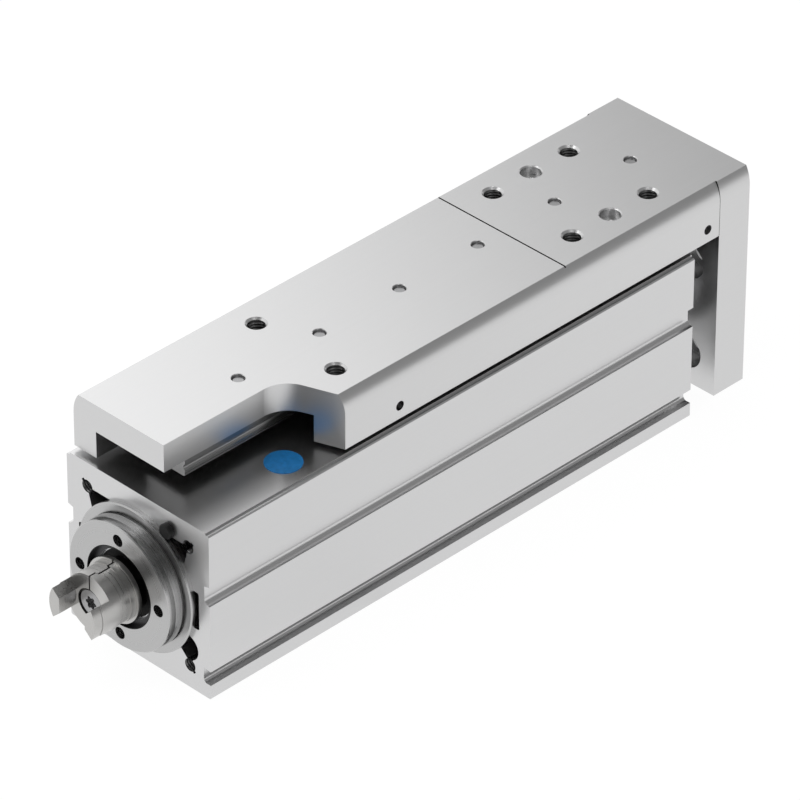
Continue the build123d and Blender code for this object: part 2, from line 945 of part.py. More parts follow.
with BuildPart() as guide_set_screws:
    with BuildSketch(underside(edge_break)):
        with Locations((rod_guide_start + set_screw_inset, 0)):
            with GridLocations(set_screw_pitch, 0, 2, 1, align=(Align.MIN, Align.CENTER)):
                Circle(m4_radius)
                RegularPolygon(set_screw_socket, 6, mode=Mode.SUBTRACT)
    extrude(amount=edge_break - axis_height + bore_radius)
    with BuildSketch(level(axis_height - bore_radius)):
        with Locations((rod_guide_start + set_screw_inset, 0)):
            with GridLocations(set_screw_pitch, 0, 2, 1, align=(Align.MIN, Align.CENTER)):
                Circle(m4_radius)
    extrude(amount=set_screw_sink)
guide_set_screws.part.label = "guide_set_screws"

# Guide carriages on the housing
front_body = carriage_body(front_carriage_station)
with BuildPart() as front_carriage:
    add(front_body)
front_carriage.part.label = "front_carriage"

rear_body = carriage_body(rear_carriage_station)
with BuildPart() as rear_carriage:
    add(rear_body)
rear_carriage.part.label = "rear_carriage"

caps = []
seals = []
for station in carriage_stations:
    body_half = carriage_body_length / 2
    cap_half = body_half + carriage_cap_length
    caps.append(carriage_slice(station - cap_half, carriage_cap_length, carriage_cap_inset))
    caps.append(carriage_slice(station + body_half, carriage_cap_length, carriage_cap_inset))
    seals.append(
        carriage_slice(station - cap_half - carriage_seal_length, carriage_seal_length, carriage_cap_inset)
    )
    seals.append(carriage_slice(station + cap_half, carriage_seal_length, carriage_cap_inset))

with BuildPart() as carriage_end_caps:
    add(caps)
carriage_end_caps.part.label = "carriage_end_caps"

with BuildPart() as carriage_seals:
    add(seals)
carriage_seals.part.label = "carriage_seals"

carriage_screw = cap_screw(
    m3_radius, carriage_screw_length, low_head_radius, low_head_height, hex_socket(socket_radius_m3)
)
with BuildPart() as carriage_screws:
    with Locations(underside(carriage_screw_shoulder)):
        with Locations(*((station, 0) for station in carriage_stations)):
            with GridLocations(carriage_screw_pitch, carriage_screw_width, 2, 2):
                add(carriage_screw)
carriage_screws.part.label = "carriage_screws"

with BuildPart() as label_disc:
    with BuildSketch(level(top_height)):
        with Locations((disc_station, disc_across)):
            Circle(disc_radius)
    extrude(amount=disc_thickness)
label_disc.part.label = "label_disc"

# Slide plate: plate and two legs, a notch at the front right and the fastening holes on top
slide_half = shouldered_outline(slide_flat_width, leg_bottom)
with BuildPart() as slide_plate:
    with BuildSketch(section(slide_front)):
        add(slide_half)
        mirror(about=Plane.YZ)
        with Locations((0, plate_underside)):
            Rectangle(channel_width, plate_thickness, align=(Align.CENTER, Align.MAX), mode=Mode.SUBTRACT)
    extrude(amount=slide_back - slide_front)
    with BuildSketch(level(0)) as notch:
        with BuildLine():
            Polyline(
                (0, notch_wall_across),
                (notch_corner_station, notch_wall_across),
                (notch_end_station, -slide_width / 2),
                (notch_end_station, -slide_width),
                (0, -slide_width),
                close=True,
            )
        make_face()
        inner_corner = (notch_corner_station, notch_wall_across, 0)
        fillet(notch.vertices().sort_by_distance(inner_corner)[0], notch_round)
    extrude(amount=slide_top, mode=Mode.SUBTRACT)
    # Seat of the rail, closed towards the front
    with BuildSketch(level(plate_underside)):
        with Locations((rail_start - rail_side_gap, 0)):
            Rectangle(
                slide_back - rail_start + rail_side_gap,
                2 * (rail_half_width + rail_side_gap),
                align=(Align.MIN, Align.CENTER),
            )
    extrude(amount=rail_recess, mode=Mode.SUBTRACT)
    # Threads of the rear pattern and the front pair, and the two centring bores
    with Locations(level(slide_top)):
        with Locations((pattern_station, 0)):
            with GridLocations(pattern_pitch, pattern_pitch, 2, 2):
                CounterSinkHole(m5_core_radius, m5_countersink_radius, plate_thickness, 90)
            with GridLocations(0, pattern_pitch, 1, 2):
                CounterSinkHole(slide_centring_radius, slide_centring_mouth, slide_centring_depth, 90)
        with Locations((front_pair_station, 0)):
            with GridLocations(0, pattern_pitch, 1, 2):
                CounterSinkHole(m5_core_radius, m5_countersink_radius, plate_thickness, 90)
        with Locations((rail_middle, 0)):
            with GridLocations(rail_screw_pitch, 0, rail_screw_count, 1):
                CounterSinkHole(
                    m3_radius + thread_gap,
                    m3_radius + thread_gap + rail_screw_mouth,
                    plate_thickness,
                    90,
                )
    # Scored line across the flat top
    with BuildSketch(level(slide_top)):
        with Locations((score_station, 0)):
            Rectangle(score_width, slide_width)
    extrude(amount=-score_depth, mode=Mode.SUBTRACT)
    # Side holes in the right leg
    with BuildSketch(Plane(origin=(motor_end, -slide_width / 2, 0), x_dir=(1, 0, 0), z_dir=(0, -1, 0))):
        with Locations(*((station, side_hole_height) for station in side_hole_stations)):
            Circle(side_hole_radius)
    extrude(amount=-side_hole_depth, mode=Mode.SUBTRACT)
    # Threads and pin holes for the yoke plate
    with Locations(section(slide_back)):
        with Locations((0, yoke_screw_height)):
            with GridLocations(2 * yoke_screw_across, 0, 2, 1):
                Hole(m4_radius + thread_gap, yoke_screw_length)
        with Locations((0, pin_height)):
            with GridLocations(2 * pin_across, 0, 2, 1):
                Hole(pin_radius + thread_gap, pin_in_slide)
slide_plate.part.label = "slide_plate"

# Rail: a ground bar with a raceway in each side and six screws from below
with BuildPart() as guide_rail:
    with BuildSketch(section(rail_start)):
        with BuildLine():
            Polyline(
                (-rail_half_width, rail_base),
                (-rail_half_width, rail_bottom + rail_chamfer),
                (rail_chamfer - rail_half_width, rail_bottom),
                (rail_half_width - rail_chamfer, rail_bottom),
                (rail_half_width, rail_bottom + rail_chamfer),
                (rail_half_width, rail_base),
                close=True,
            )
        make_face()
        for side in (1, -1):
            raceway_centre = side * (rail_half_width + raceway_radius - raceway_bite)
            with Locations((raceway_centre, raceway_height)):
                Circle(raceway_radius, mode=Mode.SUBTRACT)
            with Locations((side * rail_half_width, rail_bottom + rail_line_above_bottom)):
                Rectangle(2 * rail_line_depth, rail_line_width, mode=Mode.SUBTRACT)
    extrude(amount=rail_length)
    with Locations(underside(rail_bottom)):
        with Locations((rail_middle, 0)):
            with GridLocations(rail_screw_pitch, 0, rail_screw_count, 1):
                CounterBoreHole(m3_radius + clearance_gap, low_head_radius + clearance_gap, rail_head_sink)
guide_rail.part.label = "guide_rail"

rail_screw_seat = rail_bottom + rail_head_sink
rail_screw = cap_screw(
    m3_radius,
    slide_top - rail_screw_end_depth - rail_screw_seat,
    low_head_radius,
    rail_head_height,
    hex_socket(socket_radius_m3),
)
with BuildPart() as rail_screws:
    with Locations(underside(rail_screw_seat)):
        with Locations((rail_middle, 0)):
            with GridLocations(rail_screw_pitch, 0, rail_screw_count, 1):
                add(rail_screw)
    chamfer(rail_screws.edges().group_by(Axis.Z)[-1], screw_tip_chamfer)
rail_screws.part.label = "rail_screws"

# Yoke plate: joins the slide plate to the rod and carries the load
yoke_half = shouldered_outline(yoke_flat_width, yoke_bottom)
with BuildPart() as yoke_plate:
    with BuildSketch(section(slide_back)):
        add(yoke_half)
        mirror(about=Plane.YZ)
    extrude(amount=yoke_thickness)
    with Locations(facing_motor(slide_back)):
        with GridLocations(yoke_pattern, yoke_pattern, 2, 2):
            CounterBoreHole(yoke_hole_radius, yoke_counterbore_radius, yoke_counterbore_depth)
    with Locations(section(yoke_outside, axis_height)):
        CounterBoreHole(m6_radius + clearance_gap, m6_head_radius + clearance_gap, m6_head_sink)
    with Locations(section(yoke_outside, yoke_screw_height)):
        with GridLocations(2 * yoke_screw_across, 0, 2, 1):
            CounterBoreHole(m4_radius + clearance_gap, m4_head_radius + clearance_gap, m4_head_sink)
    with Locations(section(yoke_outside, pin_height)):
        with GridLocations(2 * pin_across, 0, 2, 1):
            Hole(pin_radius + thread_gap)
yoke_plate.part.label = "yoke_plate"

yoke_screw = cap_screw(
    m4_radius, yoke_screw_length, m4_head_radius, m4_head_height, hex_socket(m4_socket_radius)
)
with BuildPart() as yoke_screws:
    with Locations(section(yoke_outside - m4_head_sink, yoke_screw_height)):
        with GridLocations(2 * yoke_screw_across, 0, 2, 1):
            add(yoke_screw)
yoke_screws.part.label = "yoke_screws"

with BuildPart() as yoke_pins:
    with BuildSketch(section(slide_back - pin_in_slide, pin_height)):
        with GridLocations(2 * pin_across, 0, 2, 1):
            Circle(pin_radius)
    extrude(amount=pin_in_slide + yoke_thickness - edge_break)
yoke_pins.part.label = "yoke_pins"

axis_screw = cap_screw(
    m6_radius, rod_screw_length, m6_head_radius, m6_head_height, hex_socket(m6_socket_radius)
)
with BuildPart() as rod_screw:
    with Locations(section(yoke_outside - m6_head_sink, axis_height)):
        add(axis_screw)
rod_screw.part.label = "rod_screw"

os.makedirs("parts", exist_ok=True)
for piece in (
    housing_profile,
    drive_flange,
    port_plug,
    bearing_outer_rings,
    bearing_seals,
    bearing_inner_rings,
    retaining_ring,
    spindle,
    spindle_tip_ring,
    shaft_nut,
    coupling_hub,
    coupling_screw,
    rear_buffer,
    front_buffer,
    spindle_nut,
    piston,
    magnet_ring,
    guide_shoes,
    piston_rod,
    rod_guide,
    rod_bush,
    rod_wiper,
    guide_set_screws,
    front_carriage,
    rear_carriage,
    carriage_end_caps,
    carriage_seals,
    carriage_screws,
    label_disc,
    slide_plate,
    guide_rail,
    rail_screws,
    yoke_plate,
    yoke_screws,
    yoke_pins,
    rod_screw,
):
    export_step(piece.part, f"parts/{piece.part.label}.step")
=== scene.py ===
# %% [markdown]
# # Electric mini slide
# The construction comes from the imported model: every solid is already at its real size and
# place, in metres. This lesson dresses it. It gives each solid a procedural finish, adds the
# small threads that a CAD model leaves out, and sets up the camera, the light and the floor.

import json
from math import cos, pi, radians, sin

import bpy
import numpy as np
from mathutils import Matrix, Vector


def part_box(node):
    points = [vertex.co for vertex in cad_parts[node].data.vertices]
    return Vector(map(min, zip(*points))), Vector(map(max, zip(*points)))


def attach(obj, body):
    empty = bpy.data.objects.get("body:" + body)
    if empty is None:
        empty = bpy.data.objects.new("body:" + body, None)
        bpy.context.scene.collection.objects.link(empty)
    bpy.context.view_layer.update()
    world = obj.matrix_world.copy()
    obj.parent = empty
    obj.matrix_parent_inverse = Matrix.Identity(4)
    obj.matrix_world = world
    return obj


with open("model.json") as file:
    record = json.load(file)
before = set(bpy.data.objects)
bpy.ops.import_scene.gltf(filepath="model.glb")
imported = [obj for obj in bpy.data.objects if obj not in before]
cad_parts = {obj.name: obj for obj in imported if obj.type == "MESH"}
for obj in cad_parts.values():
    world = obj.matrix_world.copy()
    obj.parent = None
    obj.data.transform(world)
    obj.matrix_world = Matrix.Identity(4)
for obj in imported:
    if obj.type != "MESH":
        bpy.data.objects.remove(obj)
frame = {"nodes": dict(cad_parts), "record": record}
scene = bpy.context.scene
nodes = frame["nodes"]
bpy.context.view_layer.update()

# %% [markdown]
# ## Where things are
# A few places are needed again and again: the drive axis, the slide's top and the end of the
# housing. They are read from the solids' own boxes, so that nothing here is fitted by eye.

# %% Places read from the solids
MM = 0.001
housing_low, housing_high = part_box("housing_profile")
flange_low, flange_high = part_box("drive_flange")
slide_low, slide_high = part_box("slide_plate")
axis_z = (flange_low.z + flange_high.z) / 2
motor_end = housing_low.x
slide_top = slide_high.z
print("drive axis at z =", round(axis_z, 4), "slide top at z =", round(slide_top, 4))

# %% [markdown]
# ## Finishes
# Every finish here is a small tree of shader nodes. Building such a tree takes the same few
# steps again and again: set a socket or link it, work out a number, mix two colours. A helper
# for each step keeps the finishes themselves short enough to read.


# %% Helpers that build a node tree
def even(value):
    """The same number three times: a grey, or one scale for all axes."""
    return (value, value, value)


def shade(color, factor):
    """The colour times a factor."""
    return tuple(channel * factor for channel in color)


def feed(tree, socket, value):
    """Link a socket to another node's output, or set it to a plain number or colour."""
    if isinstance(value, bpy.types.NodeSocket):
        tree.links.new(value, socket)
    else:
        socket.default_value = value


def calculate(tree, operation, *values):
    """The result of one Math node."""
    node = tree.nodes.new("ShaderNodeMath")
    node.operation = operation
    for socket, value in zip(node.inputs, values):
        feed(tree, socket, value)
    return node.outputs[0]


def mix_colors(tree, share, first, second):
    """The first colour where the share is 0, the second where it is 1."""
    node = tree.nodes.new("ShaderNodeMix")
    node.data_type = "RGBA"
    for name, value in (("Factor", share), ("A", first), ("B", second)):
        feed(tree, node.inputs[name], value)
    return node.outputs["Result"]


# %% [markdown]
# Machined aluminium gets its look from fine marks that all run one way: along the length on a
# drawn profile, round the axis on a turned piece. An image could show them, but it would need
# unwrapped faces. A noise that is stretched hard in one direction gives such marks with no
# image. It stands on Object coordinates, so the marks stay on the metal when it moves.


# %% Coordinates and noise
def object_coordinates(tree, scale, offset=(0.0, 0.0, 0.0)):
    """Object coordinates, moved by an offset and then scaled per axis."""
    source = tree.nodes.new("ShaderNodeTexCoord")
    mapping = tree.nodes.new("ShaderNodeMapping")
    mapping.inputs["Scale"].default_value = scale
    mapping.inputs["Location"].default_value = [o * s for o, s in zip(offset, scale)]
    tree.links.new(source.outputs["Object"], mapping.inputs["Vector"])
    return mapping.outputs["Vector"]


def split_coordinates(tree):
    """The outputs X, Y and Z of the plain Object coordinates."""
    split = tree.nodes.new("ShaderNodeSeparateXYZ")
    tree.links.new(object_coordinates(tree, even(1.0)), split.inputs[0])
    return split.outputs


def noise(tree, vector, detail=2.0):
    """Noise from 0 to 1 at a vector that is already scaled."""
    texture = tree.nodes.new("ShaderNodeTexNoise")
    texture.inputs["Scale"].default_value = 1.0
    texture.inputs["Detail"].default_value = detail
    tree.links.new(vector, texture.inputs["Vector"])
    return texture.outputs["Fac"]


def spread_range(tree, value, from_low, from_high, to_low, to_high):
    """The value's range from_low to from_high, spread evenly over to_low to to_high."""
    node = tree.nodes.new("ShaderNodeMapRange")
    limits = {"From Min": from_low, "From Max": from_high, "To Min": to_low, "To Max": to_high}
    for name, limit in limits.items():
        node.inputs[name].default_value = limit
    tree.links.new(value, node.inputs["Value"])
    return node.outputs["Result"]


# Noise seldom leaves its middle range, so only that range is spread.
NOISE_LOW = 0.3
NOISE_HIGH = 0.7


def remap(tree, value, low, high):
    """The middle range of a noise, spread from low to high."""
    return spread_range(tree, value, NOISE_LOW, NOISE_HIGH, low, high)


# %% [markdown]
# The noise then drives three things on the Principled shader: a slight change of colour, a
# slight change of roughness and a very low bump. Metal shows all three at once, because a mark
# is a scratch that also scatters the light.

# %% What the noise drives
BLACK = even(0.012)


def start_material(name, color, metallic, roughness):
    """A material with its Principled shader set to even values, and its node tree."""
    material = bpy.data.materials.new(name)
    material.use_nodes = True
    shader = material.node_tree.nodes["Principled BSDF"]
    shader.inputs["Base Color"].default_value = (*color, 1.0)
    shader.inputs["Metallic"].default_value = metallic
    shader.inputs["Roughness"].default_value = roughness
    return material, material.node_tree, shader


def tint(tree, shader, value, dark, light):
    """Base colour that goes from dark to light with the value."""
    color = mix_colors(tree, value, (*dark, 1.0), (*light, 1.0))
    tree.links.new(color, shader.inputs["Base Color"])


def blacken(tree, shader, mask):
    """Base colour that turns to black where the mask is 1."""
    color = shader.inputs["Base Color"].links[0].from_socket
    tree.links.new(mix_colors(tree, mask, color, (*BLACK, 1.0)), shader.inputs["Base Color"])


def roughen(tree, shader, value, low, high):
    """Roughness that goes from low to high with a noise."""
    tree.links.new(remap(tree, value, low, high), shader.inputs["Roughness"])


def bump(tree, shader, value, height):
    """Bump of the given height in metres."""
    node = tree.nodes.new("ShaderNodeBump")
    node.inputs["Distance"].default_value = height
    node.inputs["Strength"].default_value = 1.0
    tree.links.new(value, node.inputs["Height"])
    tree.links.new(node.outputs["Normal"], shader.inputs["Normal"])


# %% [markdown]
# ### Metal with straight marks
# The housing is a drawn profile and the slide is milled, and both are then anodised. Their marks
# are mixed with soft clouds, so that no two places are quite the same.

# %% Marked metal
MARK_CONTRAST = 0.03
MARK_HEIGHT = 6e-8
MARK_SHARE = 0.65
CLOUD_SHARE = 0.35
CLOUD_SCALE = (60.0, 90.0, 90.0)


def marked_metal(
    name, color, roughness, scale, contrast=MARK_CONTRAST, height=MARK_HEIGHT, spread=0.04
):
    """Metal with marks stretched along the axis whose scale is small.

    Level = cloud share times clouds, plus mark share times marks.
    """
    material, tree, shader = start_material(name, color, 1.0, roughness)
    marks = noise(tree, object_coordinates(tree, scale))
    clouds = noise(tree, object_coordinates(tree, CLOUD_SCALE), 3.0)
    weaker_marks = calculate(tree, "MULTIPLY", marks, MARK_SHARE)
    both = calculate(tree, "MULTIPLY_ADD", clouds, CLOUD_SHARE, weaker_marks)
    level = remap(tree, both, 0.0, 1.0)
    tint(tree, shader, level, shade(color, 1 - contrast), shade(color, 1 + contrast / 2))
    roughen(tree, shader, both, roughness - spread, roughness + spread)
    bump(tree, shader, marks, height)
    return material


# %% [markdown]
# ### Turned metal
# The flange and the hub come off a lathe, so their marks run round the drive axis. The distance
# from that axis and the place along it are the same all the way round a turned ring. A noise of
# these two alone repeats with the radius, as the tool's marks do.

# %% Turned metal
TURNED_SPREAD = 0.05


def turned_metal(name, color, roughness, pitch, bore=0.0):
    """Metal turned about the drive axis: marks repeat with the radius and along the axis.

    Radius = length of (0, y, z - axis z). Inside the radius called bore the metal is blackened.
    """
    material, tree, shader = start_material(name, color, 1.0, roughness)
    radius = tree.nodes.new("ShaderNodeVectorMath")
    radius.operation = "LENGTH"
    across = object_coordinates(tree, (0.0, 1.0, 1.0), (0.0, 0.0, -axis_z))
    tree.links.new(across, radius.inputs[0])
    join = tree.nodes.new("ShaderNodeCombineXYZ")
    tree.links.new(radius.outputs["Value"], join.inputs[0])
    tree.links.new(split_coordinates(tree)["X"], join.inputs[1])
    scaled = tree.nodes.new("ShaderNodeVectorMath")
    scaled.operation = "SCALE"
    scaled.inputs["Scale"].default_value = 1.0 / pitch
    tree.links.new(join.outputs[0], scaled.inputs[0])
    marks = noise(tree, scaled.outputs[0], 3.0)
    dark, light = shade(color, 1 - MARK_CONTRAST), shade(color, 1 + MARK_CONTRAST / 2)
    tint(tree, shader, remap(tree, marks, 0.0, 1.0), dark, light)
    blacken(tree, shader, calculate(tree, "LESS_THAN", radius.outputs["Value"], bore))
    roughen(tree, shader, marks, roughness - TURNED_SPREAD, roughness + TURNED_SPREAD)
    bump(tree, shader, marks, MARK_HEIGHT)
    return material


# %% [markdown]
# ### Plastic and rubber
# The end plug and the seals are moulded, and the blue disc is made in the same way here. A mould
# leaves a fine even grain with no direction, so the noise has one scale for all axes.

# %% Moulded plastic or rubber
GRAIN_DARK = 0.85
GRAIN_LIGHT = 1.15
GRAIN_SMOOTHER = 0.05
GRAIN_ROUGHER = 0.08


def moulded(name, color, roughness, grain=2200.0, height=4e-6, specular=0.5):
    """Plastic or rubber with a fine moulded grain."""
    material, tree, shader = start_material(name, color, 0.0, roughness)
    shader.inputs["Specular IOR Level"].default_value = specular
    grains = noise(tree, object_coordinates(tree, even(grain)))
    level = remap(tree, grains, 0.0, 1.0)
    tint(tree, shader, level, shade(color, GRAIN_DARK), shade(color, GRAIN_LIGHT))
    roughen(tree, shader, grains, roughness - GRAIN_SMOOTHER, roughness + GRAIN_ROUGHER)
    bump(tree, shader, grains, height)
    return material


# %% [markdown]
# ## One finish for each slot
# The record names the finish of every solid. Anodised aluminium is bright and even, so its marks
# are much weaker than those of bare steel. The flange's mouth is blackened, because hardly any
# light comes back out of it.

# %% Aluminium, steel and bronze
FLANGE_MOUTH = 10.2 * MM
finishes = {
    "anodised_body": marked_metal(
        "drawn_profile", (0.63, 0.63, 0.633), 0.28, (9.0, 2600.0, 2600.0),
        contrast=0.012, height=5e-9, spread=0.006,
    ),
    "anodised_slide": marked_metal(
        "milled_slide", (0.635, 0.635, 0.637), 0.31, (14.0, 2200.0, 2200.0),
        contrast=0.012, height=5e-9, spread=0.008,
    ),
    "turned_flange": turned_metal("turned_flange", even(0.47), 0.28, 0.45 * MM, bore=FLANGE_MOUTH),
    "turned_hub": turned_metal("turned_hub", (0.50, 0.495, 0.485), 0.30, 0.6 * MM),
    "bearing_steel": marked_metal("ground_steel", (0.52, 0.52, 0.53), 0.25, even(900.0)),
    "guide_steel": marked_metal("ground_guide", even(0.36), 0.30, (12.0, 4000.0, 4000.0), 0.06),
    # The ring's steel is dark, and it is made nearly black as painted shade deep in the flange's
    # bore.
    "spring_steel": marked_metal("dark_and_shaded_steel", (0.05, 0.05, 0.052), 0.35, even(1500.0)),
    "screw_steel": marked_metal("zinc_steel", (0.37, 0.37, 0.375), 0.30, even(1800.0), 0.05),
    # The threads are far darker than the aluminium they are cut in: painted shade deep in the
    # holes.
    "cut_thread": marked_metal("cut_thread", even(0.17), 0.32, even(1500.0), 0.08),
    "rod_steel": marked_metal(
        "polished_rod", (0.70, 0.70, 0.71), 0.12, (3000.0, 40.0, 40.0), contrast=0.02, height=1e-7
    ),
    "bush_bronze": marked_metal("sintered_bronze", (0.46, 0.30, 0.13), 0.42, even(1500.0), 0.12),
}
print("metals:", len(finishes))

# %% [markdown]
# Black rubber and plastic take up nearly all light, and a low specular level keeps the seals
# from shining. The blue disc is a smooth label, so its grain is coarser and lower.

# %% Rubber and plastic
finishes.update({
    "buffer_rubber": moulded("buffer_rubber", even(0.02), 0.62),
    "seal_rubber": moulded("seal_rubber", even(0.008), 0.5, specular=0.2),
    "black_plastic": moulded("black_plastic", even(0.008), 0.45, specular=0.25),
    "white_plastic": moulded("white_plastic", (0.62, 0.60, 0.54), 0.45),
    "blue_label": moulded("blue_label", (0.012, 0.155, 0.40), 0.36, grain=900.0, height=1e-6),
})
print("finishes:", len(finishes))

# %% [markdown]
# Each solid gets the finish of its slot. The record ties the two together, so a new solid is
# dressed with no new line here.

# %% Put each finish on its solids
slot_of = {part["node"]: part["material_slot"] for part in frame["record"]["subparts"]}
for node_name, node in nodes.items():
    node.data.materials.clear()
    node.data.materials.append(finishes[slot_of[node_name]])
print("dressed solids:", len(slot_of))

# %% [markdown]
# ## Two fine lines on the slide
# Slide and yoke touch in a seam that shows as a hair line on the sides, and the slide's top has
# a scored line, whose groove is in the CAD. Both are under half a millimetre wide, so that the
# picture's pixels would blur away the shade that falls into them. That shade is painted into the
# slide's finish as dark bands, which read as dark lines from afar.


# %% Paint the shade of the seam and the scored line
def paint_line_shade(material, station, half_gap, half_flat, low):
    """Paint shade as a black band across X at a station.

    Mask = (distance of x from the station is at most half_gap) times (size of y is over
    half_flat) times (z is above low).
    """
    tree = material.node_tree
    place = split_coordinates(tree)
    near = calculate(tree, "COMPARE", place["X"], station, half_gap)
    distance = calculate(tree, "ABSOLUTE", place["Y"])
    beside = calculate(tree, "GREATER_THAN", distance, half_flat)
    above = calculate(tree, "GREATER_THAN", place["Z"], low)
    mask = calculate(tree, "MULTIPLY", calculate(tree, "MULTIPLY", near, beside), above)
    blacken(tree, tree.nodes["Principled BSDF"], mask)


mounts = {mount["name"]: mount for mount in frame["record"]["mounts"]}
seam_half_gap = 0.07 * MM
seam_half_flat = 19.95 * MM
score_lead = 22.65 * MM
score_half_gap = 0.2 * MM
score_depth = 0.35 * MM
score_place = mounts["slide_rear_holes"]["pos_m"][0] - score_lead
slide_finish = finishes["anodised_slide"]
# Painted shade: a black band for the seam's gap and one for the scored groove.
paint_line_shade(slide_finish, slide_high.x, seam_half_gap, seam_half_flat, slide_low.z)
paint_line_shade(slide_finish, score_place, score_half_gap, 0.0, slide_top - score_depth)
print("seam at x =", round(slide_high.x, 5), "scored line at x =", round(score_place, 5))

# %% [markdown]
# ## Threads in the holes
# A tapped hole shows dark rings where the light falls between the flanks. A bump could only
# paint them, so the thread is a real surface of two parameters: the turn angle and the place
# across the thread's profile. The radius goes in to the crest and out to the root along the
# way, and the height climbs by one pitch in each turn.

# %% The thread's surface
STEPS_PER_TURN = 28
CREST_START = 0.42
CREST_END = 0.58


def thread_surface(root, crest, pitch, length, gaps=()):
    """Points of an internal thread that runs down from the origin along -Z, and its quads.

    At turn angle a and profile place s from 0 to 1:
    radius = root - (root - crest) * tent(s), height = -(a / 2 pi + s) * pitch,
    where tent(s) rises from 0 to 1 at the crest and falls back to 0. Each gap is a pair of
    angles in degrees between which the wall is open, so that no thread stands there.
    """
    turns = length / pitch - 1.0
    angle = np.linspace(0.0, 2 * pi * turns, int(STEPS_PER_TURN * turns) + 1)
    place = np.array([0.0, CREST_START, CREST_END, 1.0])
    tent = np.array([0.0, 1.0, 1.0, 0.0])
    a, s = np.meshgrid(angle, place, indexing="ij")
    radius = root - (root - crest) * tent[None, :] * np.ones_like(a)
    height = -(a / (2 * pi) + s) * pitch
    points = np.stack([radius * np.cos(a), radius * np.sin(a), height], axis=-1)
    rows, columns = a.shape
    index = np.arange(rows * columns).reshape(rows, columns)
    quads = np.stack([index[:-1, :-1], index[1:, :-1], index[1:, 1:], index[:-1, 1:]], axis=-1)
    middle = np.degrees(angle[:-1] + angle[1:]) / 2
    wall = np.ones(len(middle), dtype=bool)
    for start, end in gaps:
        wall &= (middle - start) % 360 > end - start
    return points.reshape(-1, 3), quads[wall].reshape(-1, 4)


# %% [markdown]
# All threads of one kind make one piece, which rides on the body that it is cut in. So the
# threads of the slide travel with the slide.


# %% From arrays to a piece
def add_piece(name, points, faces, finish, body):
    """A mesh piece from arrays, with its finish and its body."""
    mesh = bpy.data.meshes.new(name)
    mesh.from_pydata(points.tolist(), [], faces.tolist())
    mesh.validate()
    mesh.shade_smooth()
    piece = bpy.data.objects.new(name, mesh)
    scene.collection.objects.link(piece)
    mesh.materials.append(finish)
    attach(piece, body)
    return piece


def threads_at(name, places, turn, size, body, gaps=None):
    """One piece that holds the same thread at several places, turned so that -Z runs inwards.

    The size is the thread's root, crest, pitch and length. Gaps, where given, has one entry
    for each place.
    """
    points = []
    quads = []
    count = 0
    for place, open_angles in zip(places, gaps or [()] * len(places)):
        new_points, new_quads = thread_surface(*size, open_angles)
        points.append(new_points @ np.array(turn).T + np.array(place))
        quads.append(new_quads + count)
        count += len(new_points)
    all_points, all_quads = np.concatenate(points), np.concatenate(quads)
    # The threads' dark finish adds painted shade to the real shade between the flanks.
    piece = add_piece(name, all_points, all_quads, finishes["cut_thread"], body)
    print(name, "at", len(places), "places,", len(piece.data.polygons), "quads")


# %% [markdown]
# The slide's top carries the load on six M5 holes, and the base is held by four M4 holes. Their
# places come from the record's mounts, so the threads follow the CAD. A hole's wall is at the
# thread's core, and the crests stand just inside it.

# %% Threads in the slide's top and in the base
UPRIGHT = [[1, 0, 0], [0, 1, 0], [0, 0, 1]]
UPSIDE_DOWN = [[1, 0, 0], [0, -1, 0], [0, 0, -1]]


def square_places(mount_name):
    """The four corners of a rectangular bolt pattern, across the mount's axis."""
    mount = mounts[mount_name]
    middle = np.array(mount["pos_m"], dtype=float)
    half_first = mount["dims"]["spacing_x_mm"] * MM / 2
    half_second = mount["dims"]["spacing_y_mm"] * MM / 2
    along = [i for i in range(3) if abs(mount["axis"][i]) < 0.5]
    places = []
    for first in (-1, 1):
        for second in (-1, 1):
            place = middle.copy()
            place[along[0]] += first * half_first
            place[along[1]] += second * half_second
            places.append(place)
    return places


# Root, crest, pitch and length.
slide_thread = (2.1 * MM, 1.86 * MM, 0.8 * MM, 6.4 * MM)
base_thread = (1.65 * MM, 1.45 * MM, 0.7 * MM, 6.0 * MM)
countersink = 0.5 * MM
single_holes = ("slide_front_left", "slide_front_right")
slide_holes = square_places("slide_rear_holes")
slide_holes += [np.array(mounts[name]["pos_m"]) for name in single_holes]
slide_holes = [place - (0.0, 0.0, countersink) for place in slide_holes]
base_holes = square_places("base_holes")
threads_at("slide_threads", slide_holes, UPRIGHT, slide_thread, "slide")
threads_at("base_threads", base_holes, UPSIDE_DOWN, base_thread, "base")

# %% [markdown]
# The corner channels of the housing take M4 screws. They are open towards their pockets and
# have a relief slot, so their threads stop there. Seen along +X from the motor end, an angle on
# the wall counts from +Z towards +Y.

# %% Threads in the corner channels
ALONG_DRIVE = [[0, 0, -1], [0, 1, 0], [1, 0, 0]]
channel_thread = (1.65 * MM, 1.45 * MM, 0.7 * MM, 12.0 * MM)
channel_offset = 16.0 * MM
relief_width = 34.0
# For each row of corners: its side of the axis, the open angles and the relief slot's middle.
corner_rows = ((1, (201.0, 270.0), 45.0), (-1, (-32.0, 29.0), 135.0))
corner_places = []
corner_gaps = []
for across in (1, -1):
    for rise, pocket, relief_middle in corner_rows:
        corner_places.append((motor_end, across * channel_offset, axis_z + rise * channel_offset))
        relief_start = relief_middle - relief_width / 2
        pairs = [pocket, (relief_start, relief_start + relief_width)]
        corner_gaps.append(pairs if across > 0 else [(-high, -low) for low, high in pairs])
threads_at(
    "channel_threads", corner_places, ALONG_DRIVE, channel_thread,
    "base", corner_gaps,
)

# %% [markdown]
# ## Camera
# The photograph was solved for its camera: a long lens, 35 degrees above the slide and 45
# degrees round from its side. The camera's three axes are worked out from those angles, and its
# matrix from the axes, so that no angle has to be turned by hand.

# %% Camera
camera_azimuth = radians(-45.197)
camera_elevation = radians(34.783)
camera_roll = radians(0.179)
camera_distance = 1.559162
aim = Vector((0.003, 0.0, 0.030))
aim_shift = (0.000806, -0.000158)

